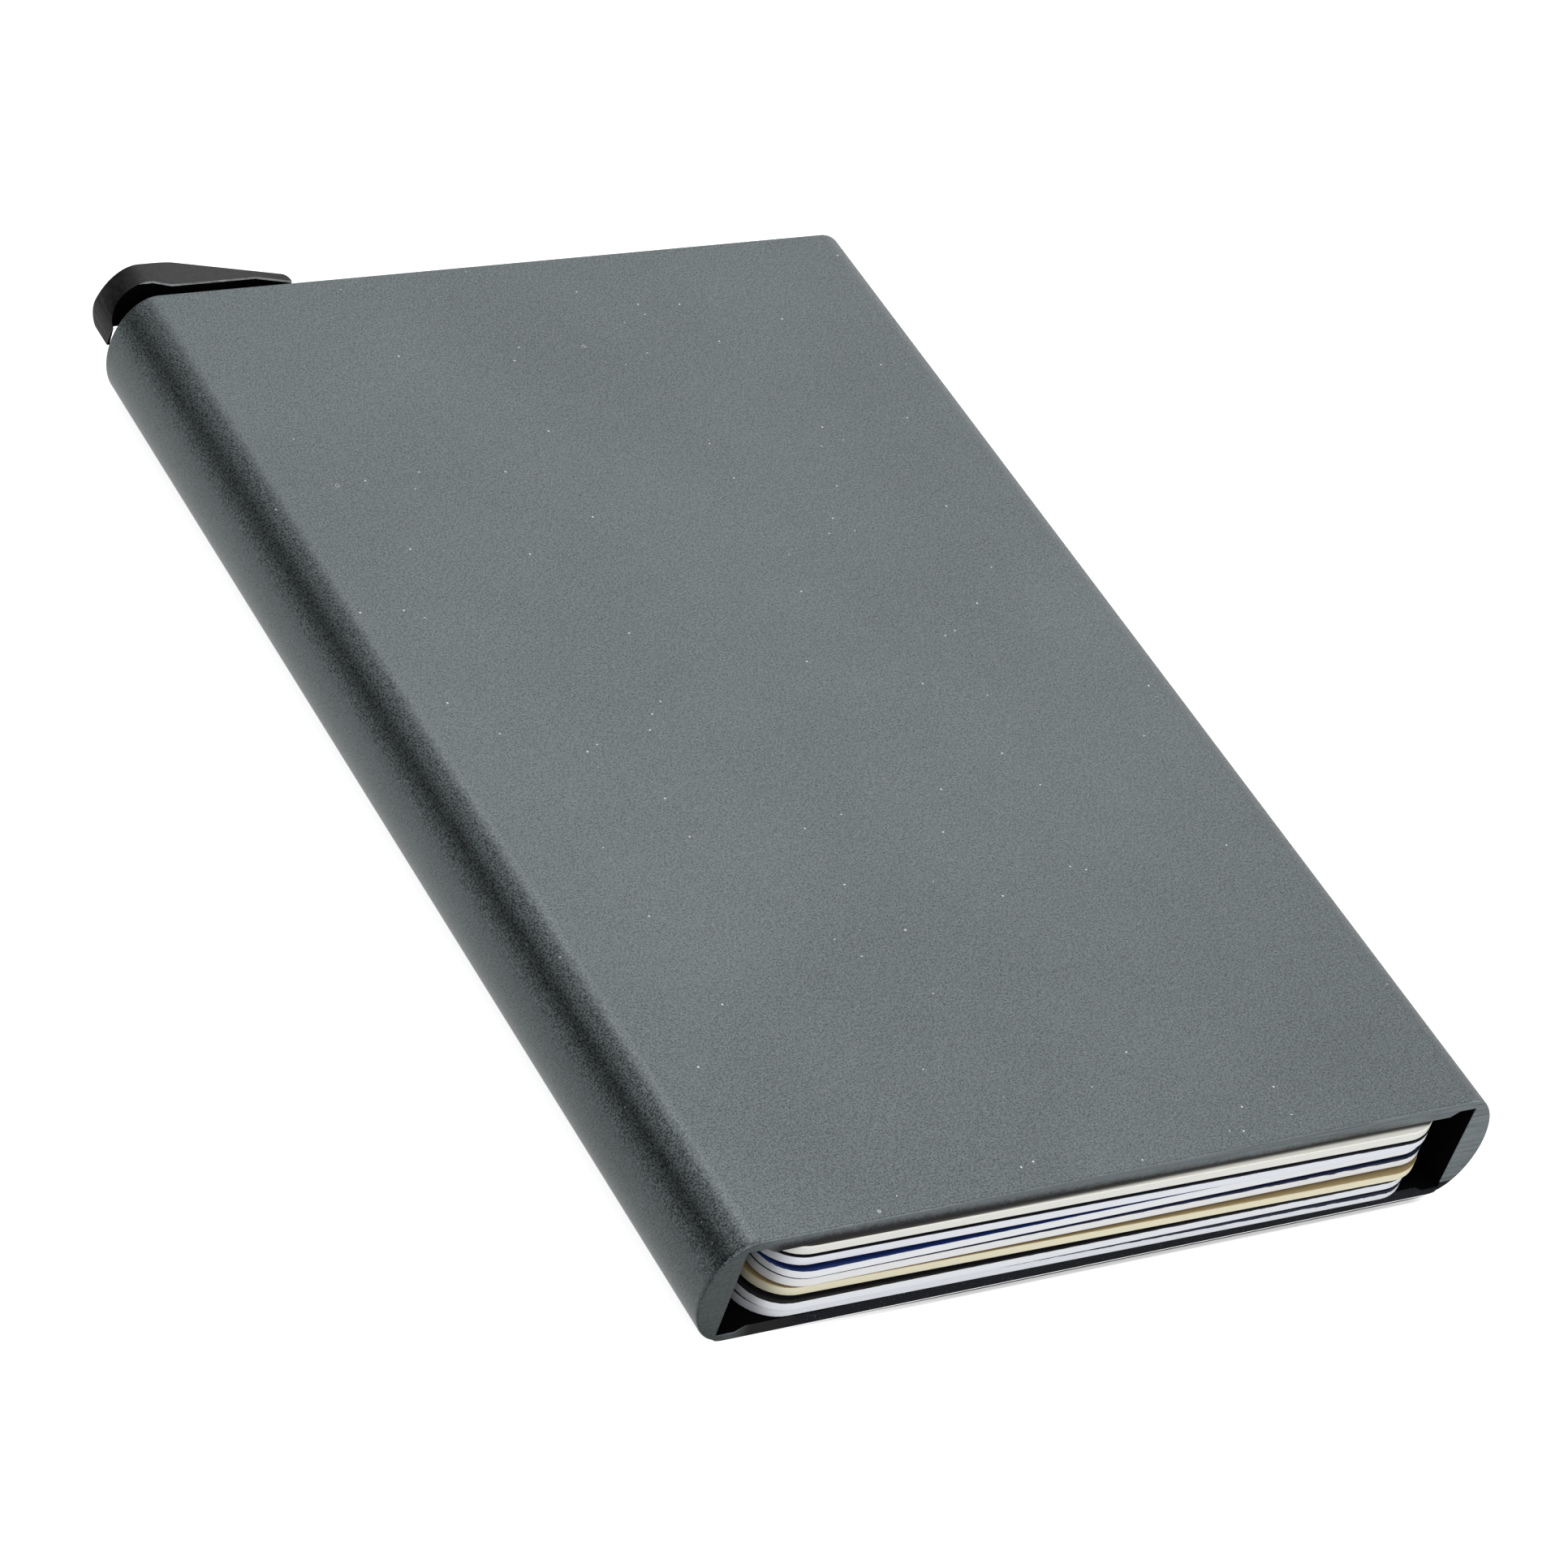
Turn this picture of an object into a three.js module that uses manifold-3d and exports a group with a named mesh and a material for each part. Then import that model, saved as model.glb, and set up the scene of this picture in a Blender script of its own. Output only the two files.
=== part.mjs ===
// Pop-up card holder: an extruded aluminium sleeve that keeps seven plastic cards between two
// brake strips, with a corner lever whose stepped inner arm pushes the cards out as a fan.
// Millimetres, +Z up. The cards come out towards -Y, the lever's tab stands at the +Y end on the
// -X side, and the origin is the middle of the sleeve's underside.

import * as THREE from 'three';
import { mergeVertices } from 'three/addons/utils/BufferGeometryUtils.js';
import Module from 'manifold-3d';

const wasm = await Module();
wasm.setup();

// Driving dimensions of the cards, which have the standard size of a bank card
const cardWidth = 53.98;
const cardLength = 85.6;
const cardThickness = 0.76;
const cardCorner = 3.18;
const embossingGap = 0.22;

// How far the cards stand out of the mouth, off its middle and turned, lowest card first
const cardProud = 0.36;
const cardProudShares = [0.45, 1, 0.7, 0.45, 0.55, 0.75, 0.7];
const cardShift = 0.5;
const cardShiftShares = [-0.2, -0.2, 0.3, 1, 0.8, 0.1, -0.1];
const cardTurn = 0.75;
const cardTurnShares = [0.75, 0.15, 1, 0, -0.45, 0.85, 0.9];

// Driving dimensions of the sleeve, which is drawn round the stack of cards
const floorWall = 1.05;
const roofWall = 1.3;
const flankWall = 2.3;
const flankBulge = 3.0;
const edgeBreak = 0.1;
const roomBesideCards = 2.21;
const roomBehindCards = 10.3;
const roomUnderCards = 0.05;
const roomOverCards = 0.21;
const channelWidth = 1.4;
const channelSlope = 0.7;
const channelDepth = 0.42;

// Driving dimensions of the lever
const pivotFromSide = 16.0;
const pivotFromEnd = 4.5;
const leverTravel = 32;
const armShortOfEdge = 1.49;
const shortestReach = 8.0;
const armTip = 1.0;
const armBehindCards = 0.4;
const pushShare = 0.97;
const hubRadius = 3.2;
const pinRadius = 1.0;

// Clearances and cutting overrun
const runningClearance = 0.05;
const pressClearance = 0.02;
const sideClearance = 0.15;
const movingClearance = 0.3;
const cutOverrun = 1.0;
const mergeDistance = 1e-5;

// Fineness of round shapes
const sideSegments = 36;
const cornerSegments = 8;
const roundSegments = 40;

// Sizes and places that several pieces share
const cardCount = cardTurnShares.length;
const cardPitch = cardThickness + embossingGap;
const stackHeight = cardCount * cardPitch - embossingGap;
const cavityWidth = cardWidth + 2 * roomBesideCards;
const cavityHeight = roomUnderCards + stackHeight + roomOverCards;
const sleeveWidth = cavityWidth + 2 * flankWall;
const sleeveHeight = floorWall + cavityHeight + roofWall;
const sleeveLength = cardLength + roomBehindCards;
const mouthY = -sleeveLength / 2;
const endY = sleeveLength / 2;
const sideX = -sleeveWidth / 2;
const floorZ = floorWall;
const ceilingZ = sleeveHeight - roofWall;
const cardsEndY = mouthY + cardLength;
const pivotX = sideX + pivotFromSide;
const pivotY = endY - pivotFromEnd;
const leverTravelRadians = THREE.MathUtils.degToRad(leverTravel);
const armReach = cardWidth / 2 - armShortOfEdge - pivotX;
const armStep = (armReach - shortestReach) / (cardCount - 1);

// Closed geometry to solid and back, for joining and cutting

function solidOf(geometry) {
  const plain = geometry.clone();
  plain.deleteAttribute('normal');
  plain.deleteAttribute('uv');
  const merged = mergeVertices(plain, mergeDistance);
  const vertProperties = new Float32Array(merged.attributes.position.array);
  const triVerts = new Uint32Array(merged.index.array);
  return new wasm.Manifold(new wasm.Mesh({ numProp: 3, vertProperties, triVerts }));
}

function geometryOf(solid) {
  const mesh = solid.getMesh();
  const geometry = new THREE.BufferGeometry();
  geometry.setAttribute('position', new THREE.BufferAttribute(mesh.vertProperties, 3));
  geometry.setIndex(new THREE.BufferAttribute(mesh.triVerts, 1));
  geometry.computeVertexNormals();
  return geometry;
}

// A plan outline raised from one height to another
function standing(outline, lowZ, highZ, curveSegments = cornerSegments) {
  const options = { depth: highZ - lowZ, bevelEnabled: false, curveSegments };
  return new THREE.ExtrudeGeometry(outline, options).translate(0, 0, lowZ);
}

// An outline drawn in X and Z, run along Y with its end edges broken
function lying(outline, lowY, highY, broken = 0) {
  const options = {
    depth: highY - lowY - 2 * broken,
    curveSegments: sideSegments,
    bevelEnabled: broken > 0,
    bevelThickness: broken,
    bevelSize: broken,
    bevelOffset: -broken,
    bevelSegments: 1,
  };
  const geometry = new THREE.ExtrudeGeometry(outline, options);
  return geometry.rotateX(Math.PI / 2).translate(0, highY - broken, 0);
}

function rectangle(lowX, lowY, highX, highY, Outline = THREE.Shape) {
  const outline = new Outline();
  outline.moveTo(lowX, lowY);
  outline.lineTo(highX, lowY);
  outline.lineTo(highX, highY);
  outline.lineTo(lowX, highY);
  outline.closePath();
  return outline;
}

function polygon(points) {
  return new THREE.Shape(points.map(([x, y]) => new THREE.Vector2(x, y)));
}

function roundBar(radius, x, y, lowZ, highZ) {
  const bar = new THREE.CylinderGeometry(radius, radius, highZ - lowZ, roundSegments);
  return bar.rotateX(Math.PI / 2).translate(x, y, (lowZ + highZ) / 2);
}

function piece(name, geometry, color, roughness, metalness) {
  const material = new THREE.MeshStandardMaterial({ color, roughness, metalness });
  const mesh = new THREE.Mesh(geometry, material);
  mesh.name = name;
  return mesh;
}

// Sleeve: one length of extruded, bead-blasted and anodised aluminium. Its flanks are solid half
// ellipses. Down both sides of the cavity the floor and the roof step back to a channel.

function sleeveOutline() {
  const flat = sleeveWidth / 2 - flankBulge;
  const middle = sleeveHeight / 2;
  const quarter = Math.PI / 2;
  const outline = new THREE.Shape();
  outline.absellipse(flat, middle, flankBulge, middle, -quarter, quarter);
  outline.absellipse(-flat, middle, flankBulge, middle, quarter, 3 * quarter);
  return outline;
}

function cavityPoints(inset) {
  const wall = cavityWidth / 2 - inset;
  const channel = wall - channelWidth;
  const land = channel - channelSlope;
  const low = floorZ + inset;
  const high = ceilingZ - inset;
  const right = [
    [land, low], [channel, low - channelDepth], [wall, low - channelDepth],
    [wall, high + channelDepth], [channel, high + channelDepth], [land, high],
  ];
  const left = right.map(([x, z]) => [-x, z]).reverse();
  return [...right, ...left].map(([x, z]) => new THREE.Vector2(x, z));
}

function makeSleeve() {
  const outline = sleeveOutline();
  outline.holes.push(new THREE.Path(cavityPoints(0)));
  return piece('case_sleeve', lying(outline, mouthY, endY, edgeBreak), 0x6d7577, 0.62, 0.35);
}

// Cards: standard plastic cards. Their embossing keeps them a little apart, and each lies in the
// stack as it was pushed in, so no two stand out alike.

function cardFloorZ(index) {
  return floorZ + roomUnderCards + index * cardPitch;
}

function cardTurnRadians(index) {
  return THREE.MathUtils.degToRad(cardTurn * cardTurnShares[index]);
}

// Drawn about the middle of its front edge
function cardOutline() {
  const side = cardWidth / 2 - cardCorner;
  const back = cardLength - cardCorner;
  const quarter = Math.PI / 2;
  const outline = new THREE.Shape();
  outline.absarc(side, cardCorner, cardCorner, -quarter, 0);
  outline.absarc(side, back, cardCorner, 0, quarter);
  outline.absarc(-side, back, cardCorner, quarter, 2 * quarter);
  outline.absarc(-side, cardCorner, cardCorner, 2 * quarter, 3 * quarter);
  return outline;
}

function makeCards() {
  const colours = [0xd2d5db, 0xdddde2, 0xd7d1b7, 0xdadada, 0xdce1e8, 0xd6d9e2, 0xd4d5ce];
  return cardTurnShares.map((share, index) => {
    const geometry = standing(cardOutline(), 0, cardThickness);
    const mesh = piece(`card_${index + 1}`, geometry, colours[index], 0.4, 0);
    const frontY = mouthY - cardProud * cardProudShares[index];
    mesh.position.set(cardShift * cardShiftShares[index], frontY, cardFloorZ(index));
    mesh.rotation.z = -cardTurnRadians(index);
    return mesh;
  });
}

// Brake strips: velour pile on springy foam down the cavity's channels. The pile's face lies
// just clear of the card that reaches furthest to its side, at rest and while it is pushed out,
// and the foam fills what is left up to the wall.

function cardTravel(index) {
  return pushShare * (armReach - index * armStep - armTip) * leverTravelRadians;
}

function makeBrakes() {
  const pile = 0.4;
  const stripLength = 45.0;
  const stripFromMouth = 6.0;
  const stripMargin = 0.1;
  const lowY = mouthY + stripFromMouth;
  const brakes = [];
  for (const [side, direction] of [['left', -1], ['right', 1]]) {
    const wall = direction * cavityWidth / 2;
    const reaches = cardTurnShares.map((share, index) => {
      const alongCard = stripFromMouth + stripLength + cardTravel(index) + cardProud;
      const lean = direction * alongCard * Math.sin(cardTurnRadians(index));
      return direction * cardShift * cardShiftShares[index] + Math.max(0, lean);
    });
    const face = direction * (cardWidth / 2 + Math.max(...reaches) + runningClearance);
    const backing = face + direction * pile;
    for (const [name, inner, outer, colour] of [
      [`brake_velour_${side}`, face, backing, 0x0c0c0e],
      [`brake_foam_${side}`, backing, wall, 0x17181a],
    ]) {
      const lowX = Math.min(inner, outer);
      const highX = Math.max(inner, outer);
      const outline = rectangle(lowX, lowY, highX, lowY + stripLength);
      const geometry = standing(outline, floorZ + stripMargin, ceilingZ - stripMargin);
      brakes.push(piece(name, geometry, colour, 1, 0));
    }
  }
  return brakes;
}

// End cap: the moulding that is bonded into the sleeve's far end. Its two ears carry the pivot
// pin, the lever's neck passes through its slot, and two ribs stop the arm at rest.

const capWall = 1.8;
const capRecess = 0.4;
const capCheek = 1.2;
const cheekBehindCards = 0.9;
const earThickness = 0.85;
const earMargin = 0.2;
const earRadius = hubRadius + earMargin;
const capOuterY = endY - capRecess;
const capInnerY = capOuterY - capWall;
const earLowZ = floorZ + runningClearance + earThickness;
const earHighZ = ceilingZ - runningClearance - earThickness;

// Lever's neck, whose flanks also set the cap's slot
const neckLeftFoot = [-hubRadius, 0];
const neckLeftHead = [-9.0, pivotFromEnd + 1.6];
const neckRightFoot = [2.0, 2.4];
const neckRightHead = [-2.6, pivotFromEnd + 0.9];

function onLine([fromX, fromY], [toX, toY], y) {
  return fromX + (toX - fromX) * (y - fromY) / (toY - fromY);
}

function turned([x, y]) {
  const cosine = Math.cos(leverTravelRadians);
  const sine = Math.sin(leverTravelRadians);
  return [x * cosine + y * sine, y * cosine - x * sine];
}

// Arm's back edge, as a height above the pivot for each distance along the arm
const armFrontY = cardsEndY + armBehindCards - pivotY;
const armRootBackY = 1.5;
const armTipDepth = 3.0;

function armBackY(x) {
  const tipBackY = armFrontY + armTipDepth;
  return armRootBackY + (tipBackY - armRootBackY) * (x - hubRadius) / (armReach - hubRadius);
}

function makeEndCap() {
  const half = cavityWidth / 2 - runningClearance;
  const lowZ = floorZ + runningClearance;
  const highZ = ceilingZ - runningClearance;
  const plate = new THREE.Shape(cavityPoints(runningClearance));
  let cap = solidOf(lying(plate, capInnerY, capOuterY));

  for (const direction of [-1, 1]) {
    const inner = direction * (half - capCheek);
    const outer = direction * half;
    const lowX = Math.min(inner, outer);
    const highX = Math.max(inner, outer);
    const cheek = rectangle(lowX, cardsEndY + cheekBehindCards, highX, capOuterY);
    cap = cap.add(solidOf(standing(cheek, lowZ, highZ)));
  }

  const ear = new THREE.Shape();
  ear.moveTo(pivotX + earRadius, capOuterY);
  ear.lineTo(pivotX - earRadius, capOuterY);
  ear.absarc(pivotX, pivotY, earRadius, Math.PI, 2 * Math.PI);
  cap = cap.add(solidOf(standing(ear, lowZ, highZ, roundSegments / 4)));

  const ribWidth = 1.6;
  const ribShares = [0.3, 0.62];
  for (const share of ribShares) {
    const lowX = share * armReach;
    const highX = lowX + ribWidth;
    const rib = polygon([
      [pivotX + lowX, pivotY + armBackY(lowX) + movingClearance],
      [pivotX + highX, pivotY + armBackY(highX) + movingClearance],
      [pivotX + highX, capOuterY],
      [pivotX + lowX, capOuterY],
    ]);
    cap = cap.add(solidOf(standing(rib, lowZ, highZ)));
  }

  // Room for the hub between the ears, then the slot that the neck sweeps
  const innerY = capInnerY - pivotY;
  const outerY = capOuterY - pivotY;
  const hubHalf = Math.sqrt(hubRadius ** 2 - innerY ** 2);
  const rightOuter = onLine(turned(neckRightFoot), turned(neckRightHead), outerY);
  const slot = polygon([
    [pivotX + onLine(neckLeftFoot, neckLeftHead, innerY) - movingClearance, capInnerY],
    [pivotX + hubHalf + movingClearance, capInnerY],
    [pivotX + rightOuter + movingClearance, capOuterY + cutOverrun],
    [pivotX + onLine(neckLeftFoot, neckLeftHead, outerY) - movingClearance, capOuterY + cutOverrun],
    [pivotX + onLine(neckLeftFoot, neckLeftHead, outerY) - movingClearance, capOuterY],
  ]);
  const room = rectangle(
    pivotX - earRadius - cutOverrun, pivotY - earRadius - cutOverrun,
    pivotX + earRadius + cutOverrun, capInnerY,
  );
  cap = cap.subtract(solidOf(standing(slot, earLowZ, earHighZ)));
  cap = cap.subtract(solidOf(standing(room, earLowZ, earHighZ)));
  const pinHole = roundBar(pinRadius + pressClearance, pivotX, pivotY, 0, sleeveHeight);
  cap = cap.subtract(solidOf(pinHole));
  return piece('end_cap', geometryOf(cap), 0x1b1b1d, 0.55, 0);
}

// Pivot pin: a plain ground dowel with broken ends, pressed into the ears and trapped by the
// sleeve above and below

function makePivotPin() {
  const breakHeight = 0.2;
  const lowZ = floorZ + runningClearance;
  const highZ = ceilingZ - runningClearance;
  const profile = [
    new THREE.Vector2(0, lowZ),
    new THREE.Vector2(pinRadius - breakHeight, lowZ),
    new THREE.Vector2(pinRadius, lowZ + breakHeight),
    new THREE.Vector2(pinRadius, highZ - breakHeight),
    new THREE.Vector2(pinRadius - breakHeight, highZ),
    new THREE.Vector2(0, highZ),
  ];
  const geometry = new THREE.LatheGeometry(profile, roundSegments).rotateX(Math.PI / 2);
  const mesh = piece('pivot_pin', geometry, 0xb9bcc0, 0.3, 1);
  mesh.position.set(pivotX, pivotY, 0);
  return mesh;
}

// Ejector lever: one moulding of tab, neck, hub and stepped arm, drawn about its pivot. Each
// step of the arm is as tall as one card with its share of the gaps, and reaches less far than
// the step below it, so the lowest card is pushed furthest.

function makeArmSteps() {
  const heel = hubRadius / 3;
  return cardTurnShares.map((share, index) => {
    const reach = armReach - index * armStep;
    const last = index === cardCount - 1;
    const topZ = last ? ceilingZ - sideClearance : cardFloorZ(index + 1) - embossingGap / 2;
    const outline = new THREE.Shape();
    outline.moveTo(reach, armBackY(reach));
    outline.lineTo(0, armBackY(0));
    outline.lineTo(-hubRadius, 0);
    outline.lineTo(-hubRadius, armFrontY + heel);
    outline.lineTo(-heel, armFrontY);
    outline.absarc(reach - armTip, armFrontY + armTip, armTip, -Math.PI / 2, 0);
    return solidOf(standing(outline, floorZ + sideClearance, topZ));
  });
}

function makeLever() {
  const steps = makeArmSteps();
  const arm = steps.reduce((sum, step) => sum.add(step));

  // Between the ears only the hub's own height is left
  const hubLowZ = earLowZ + sideClearance;
  const hubHighZ = earHighZ - sideClearance;
  const earSpace = roundBar(earRadius + movingClearance, 0, 0, 0, sleeveHeight);
  const reachAll = armReach + cutOverrun;
  const hubSlab = rectangle(-reachAll, -reachAll, reachAll, reachAll);
  const root = arm.intersect(solidOf(standing(hubSlab, hubLowZ, hubHighZ)));
  let lever = arm.subtract(solidOf(earSpace)).add(root);
  lever = lever.add(solidOf(roundBar(hubRadius, 0, 0, hubLowZ, hubHighZ)));

  const neck = polygon([neckLeftFoot, neckRightFoot, neckRightHead, neckLeftHead]);
  lever = lever.add(solidOf(standing(neck, hubLowZ, hubHighZ)));
  lever = lever.add(makeTab());
  lever = lever.subtract(solidOf(roundBar(pinRadius + runningClearance, 0, 0, 0, sleeveHeight)));

  const mesh = piece('ejector_lever', geometryOf(lever), 0x1a1a1c, 0.42, 0);
  mesh.position.set(pivotX, pivotY, 0);
  return mesh;
}

// The tab carries on the upper half of the sleeve's flank beyond its end. It is a plan outline
// cut by the sleeve's own outline, by its underside with a nick for a fingernail behind the lip,
// and by its side view, which is bowed below and rounded up to the outer face.

function makeTab() {
  const tabLength = 14.0;
  const tabReach = 3.55;
  const tabGap = 0.95;
  const tailGap = 0.12;
  const tailRound = 0.55;
  const tailSlope = 2.6;
  const shoulderFromSide = 5.1;
  const reliefGap = 1.5;
  const reliefStart = 4.6;
  const reliefEnd = 3.3;
  const lipGap = 0.15;
  const lipThickness = 0.2;
  const lipFoot = 1.2;
  const side = sideX - pivotX;
  const end = pivotFromEnd;
  const plan = new THREE.Shape();
  plan.moveTo(side + tabLength, end + tailGap);
  plan.quadraticCurveTo(
    side + tabLength, end + tabGap, side + tabLength - tailRound, end + tabGap + tailGap,
  );
  plan.lineTo(side + shoulderFromSide + tailRound, end + tabReach - tailGap);
  plan.quadraticCurveTo(
    side + shoulderFromSide, end + tabReach, side + shoulderFromSide - 2 * tailRound, end + tabReach,
  );
  plan.lineTo(side - cutOverrun, end + tabReach);
  plan.lineTo(side - cutOverrun, end + lipGap);
  plan.lineTo(side + lipThickness, end + lipGap);
  plan.quadraticCurveTo(side + lipThickness, end + reliefGap, side + lipFoot, end + reliefGap);
  plan.lineTo(side + reliefEnd, end + reliefGap);
  plan.lineTo(side + reliefStart, end + tabGap);
  plan.lineTo(side + tabLength - tailSlope, end + tabGap);

  const tabUndersideZ = 4.5;
  const lipRound = 0.35;
  const nickZ = 5.3;
  const nickStart = 0.75;
  const nickEnd = 5.0;
  const nickSlope = 1.1;
  const aboveZ = sleeveHeight + cutOverrun;
  const farX = side + tabLength + cutOverrun;
  const underside = new THREE.Shape();
  underside.moveTo(farX, aboveZ);
  underside.lineTo(side, aboveZ);
  underside.absarc(side + lipRound, tabUndersideZ + lipRound, lipRound, Math.PI, 1.5 * Math.PI);
  underside.lineTo(side + nickStart, nickZ);
  underside.lineTo(side + nickEnd, nickZ);
  underside.lineTo(side + nickEnd + nickSlope, tabUndersideZ);
  underside.lineTo(farX, tabUndersideZ);

  const bowMiddle = 1.3;
  const bowHeight = 1.8;
  const bowZ = tabUndersideZ + bowHeight;
  const lowY = end - cutOverrun;
  const highY = end + tabReach + cutOverrun;
  const sideView = new THREE.Shape();
  sideView.moveTo(highY, aboveZ);
  sideView.lineTo(lowY, aboveZ);
  sideView.lineTo(lowY, bowZ);
  sideView.absellipse(
    end + bowMiddle, bowZ, tabReach - bowMiddle, bowHeight, Math.PI, 2 * Math.PI,
  );
  sideView.lineTo(highY, bowZ);
  const acrossTab = lying(sideView, -farX, cutOverrun - side).rotateZ(Math.PI / 2);

  const flank = lying(sleeveOutline(), lowY, highY).translate(-pivotX, 0, 0);
  return solidOf(standing(plan, 0, sleeveHeight))
    .intersect(solidOf(flank))
    .intersect(solidOf(lying(underside, lowY, highY)))
    .intersect(solidOf(acrossTab));
}

const cardHolder = new THREE.Group();
cardHolder.add(makeSleeve(), makeEndCap(), makePivotPin(), makeLever());
cardHolder.add(...makeBrakes(), ...makeCards());

export default cardHolder;
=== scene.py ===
import math

import bmesh
import bpy
from mathutils import Matrix, Vector


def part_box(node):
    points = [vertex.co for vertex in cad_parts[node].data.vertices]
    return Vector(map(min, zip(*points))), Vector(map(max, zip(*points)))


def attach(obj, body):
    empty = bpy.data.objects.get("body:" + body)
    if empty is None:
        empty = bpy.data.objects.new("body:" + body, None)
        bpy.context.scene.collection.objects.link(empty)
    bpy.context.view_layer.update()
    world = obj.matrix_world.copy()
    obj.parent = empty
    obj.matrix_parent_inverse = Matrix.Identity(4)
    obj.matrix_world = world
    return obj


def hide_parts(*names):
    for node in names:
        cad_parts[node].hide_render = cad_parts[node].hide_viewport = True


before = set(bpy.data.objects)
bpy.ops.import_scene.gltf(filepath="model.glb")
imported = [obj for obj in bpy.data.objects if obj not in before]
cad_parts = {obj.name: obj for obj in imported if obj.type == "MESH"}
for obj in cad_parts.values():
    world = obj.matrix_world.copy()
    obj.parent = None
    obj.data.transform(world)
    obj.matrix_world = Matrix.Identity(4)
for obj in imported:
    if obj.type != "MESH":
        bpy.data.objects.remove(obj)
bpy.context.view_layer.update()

sleeve_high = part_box("case_sleeve")[1]
half_length = sleeve_high.y
mm = 0.001


# Camera: a long lens 0.41 m from the holder, which looks down on the mouth and the left flank as
# the photograph does. Its place and axes were fitted to the sleeve's corners and edges.
camera_place = Vector((-0.211994, -0.241308, 0.257292))
camera_right = Vector((0.84449955, -0.45970149, 0.27476362))
camera_up = Vector((0.12669859, 0.66996918, 0.73149762))
camera_back = camera_right.cross(camera_up)

lens = bpy.data.cameras.new("camera")
lens.sensor_width = 36
lens.lens = 132.73
lens.shift_x = -0.00687
lens.shift_y = 0.0011
lens.clip_start = 0.01
lens.clip_end = 20
camera = bpy.data.objects.new("camera", lens)
bpy.context.collection.objects.link(camera)
turned = Matrix((camera_right, camera_up, camera_back)).transposed()
camera.matrix_world = Matrix.Translation(camera_place) @ turned.to_4x4()
bpy.context.scene.camera = camera
bpy.context.scene.view_settings.view_transform = "Standard"


# Table: a broad white sheet under the holder, which shows as plain white but for a thin painted
# shadow right under the mouth's edge. Seen in the metal, it glows with a painted reflection that
# grows darker towards the left and close to the mouth.
class Wire:
    """One output of a node. Sums with it add Math nodes to its finish."""

    def __init__(self, finish, socket):
        self.finish = finish
        self.socket = socket

    def output(self, name):
        return Wire(self.finish, self.socket.node.outputs[name])

    def maths(self, operation, *values):
        inputs = dict(enumerate(values))
        return self.finish.node("ShaderNodeMath", {"operation": operation}, inputs)

    def __add__(self, other):
        return self.maths("ADD", self, other)

    def __sub__(self, other):
        return self.maths("SUBTRACT", self, other)

    def __rsub__(self, other):
        return self.maths("SUBTRACT", other, self)

    def __mul__(self, other):
        return self.maths("MULTIPLY", self, other)

    def __gt__(self, other):
        return self.maths("GREATER_THAN", self, other)

    def __lt__(self, other):
        return self.maths("LESS_THAN", self, other)

    def __abs__(self):
        return self.maths("ABSOLUTE", self)

    __radd__ = __add__
    __rmul__ = __mul__


class Finish:
    """One material, or the world, with the method that makes each of its nodes."""

    def __init__(self, name, data=None):
        self.data = data or bpy.data.materials.new(name)
        self.data.use_nodes = True
        self.tree = self.data.node_tree
        self.shader = self.tree.nodes.get("Principled BSDF")

    def fill(self, node, inputs):
        for key, value in inputs.items():
            socket = node.inputs[key]
            if isinstance(value, Wire):
                self.tree.links.new(value.socket, socket)
            elif socket.type == "RGBA":
                socket.default_value = (*value, 1)
            else:
                socket.default_value = value

    def node(self, kind, settings=None, inputs=None, output=0):
        made = self.tree.nodes.new(kind)
        for key, value in (settings or {}).items():
            setattr(made, key, value)
        self.fill(made, inputs or {})
        return Wire(self, made.outputs[output])

    def set(self, **inputs):
        named = {key.replace("_", " "): value for key, value in inputs.items()}
        self.fill(self.shader, named)

    def place(self):
        return self.node("ShaderNodeTexCoord", output="Object")

    def along(self, axis):
        return self.node("ShaderNodeSeparateXYZ", inputs={"Vector": self.place()}, output=axis)

    def ramp(self, value, start, end, first=0.0, last=1.0):
        """A smooth step: first up to start, last from end on."""
        inputs = {"Value": value, "From Min": start, "From Max": end,
                  "To Min": first, "To Max": last}
        return self.node("ShaderNodeMapRange", {"interpolation_type": "SMOOTHSTEP"}, inputs)

    def mix(self, share, first, second):
        inputs = {"Factor": share, 6: first, 7: second}
        return self.node("ShaderNodeMix", {"data_type": "RGBA"}, inputs, output=2)


def stage_piece(mesh, name, finish):
    data = bpy.data.meshes.new(name)
    mesh.to_mesh(data)
    mesh.free()
    data.materials.append(finish.data)
    made = bpy.data.objects.new(name, data)
    bpy.context.collection.objects.link(made)
    return made


table_reach = 3.0
table_drop = 0.02 * mm
table_glow = 0.80
table_white = (0.8, 0.8, 0.8)
shade_from = 36 * mm
shade_to = 64 * mm
mirrored_near = 0.68
mirrored_far = 0.3
near_shade = 0.35
near_from = 0.5 * mm
near_to = 2.5 * mm
lip_shade = 0.73
lip_shade_from = 0.30 * mm
lip_shade_to = 0.55 * mm
contact_shade = 0.96
contact_reach = 0.13 * mm
contact_full_share = 0.4
mouth_half = 29 * mm
mouth_left_share = 0.3
mouth_right_share = 0.92
table_mesh = bmesh.new()
bmesh.ops.create_grid(table_mesh, x_segments=1, y_segments=1, size=table_reach)
bmesh.ops.translate(table_mesh, vec=(0, 0, -table_drop), verts=table_mesh.verts)

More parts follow.
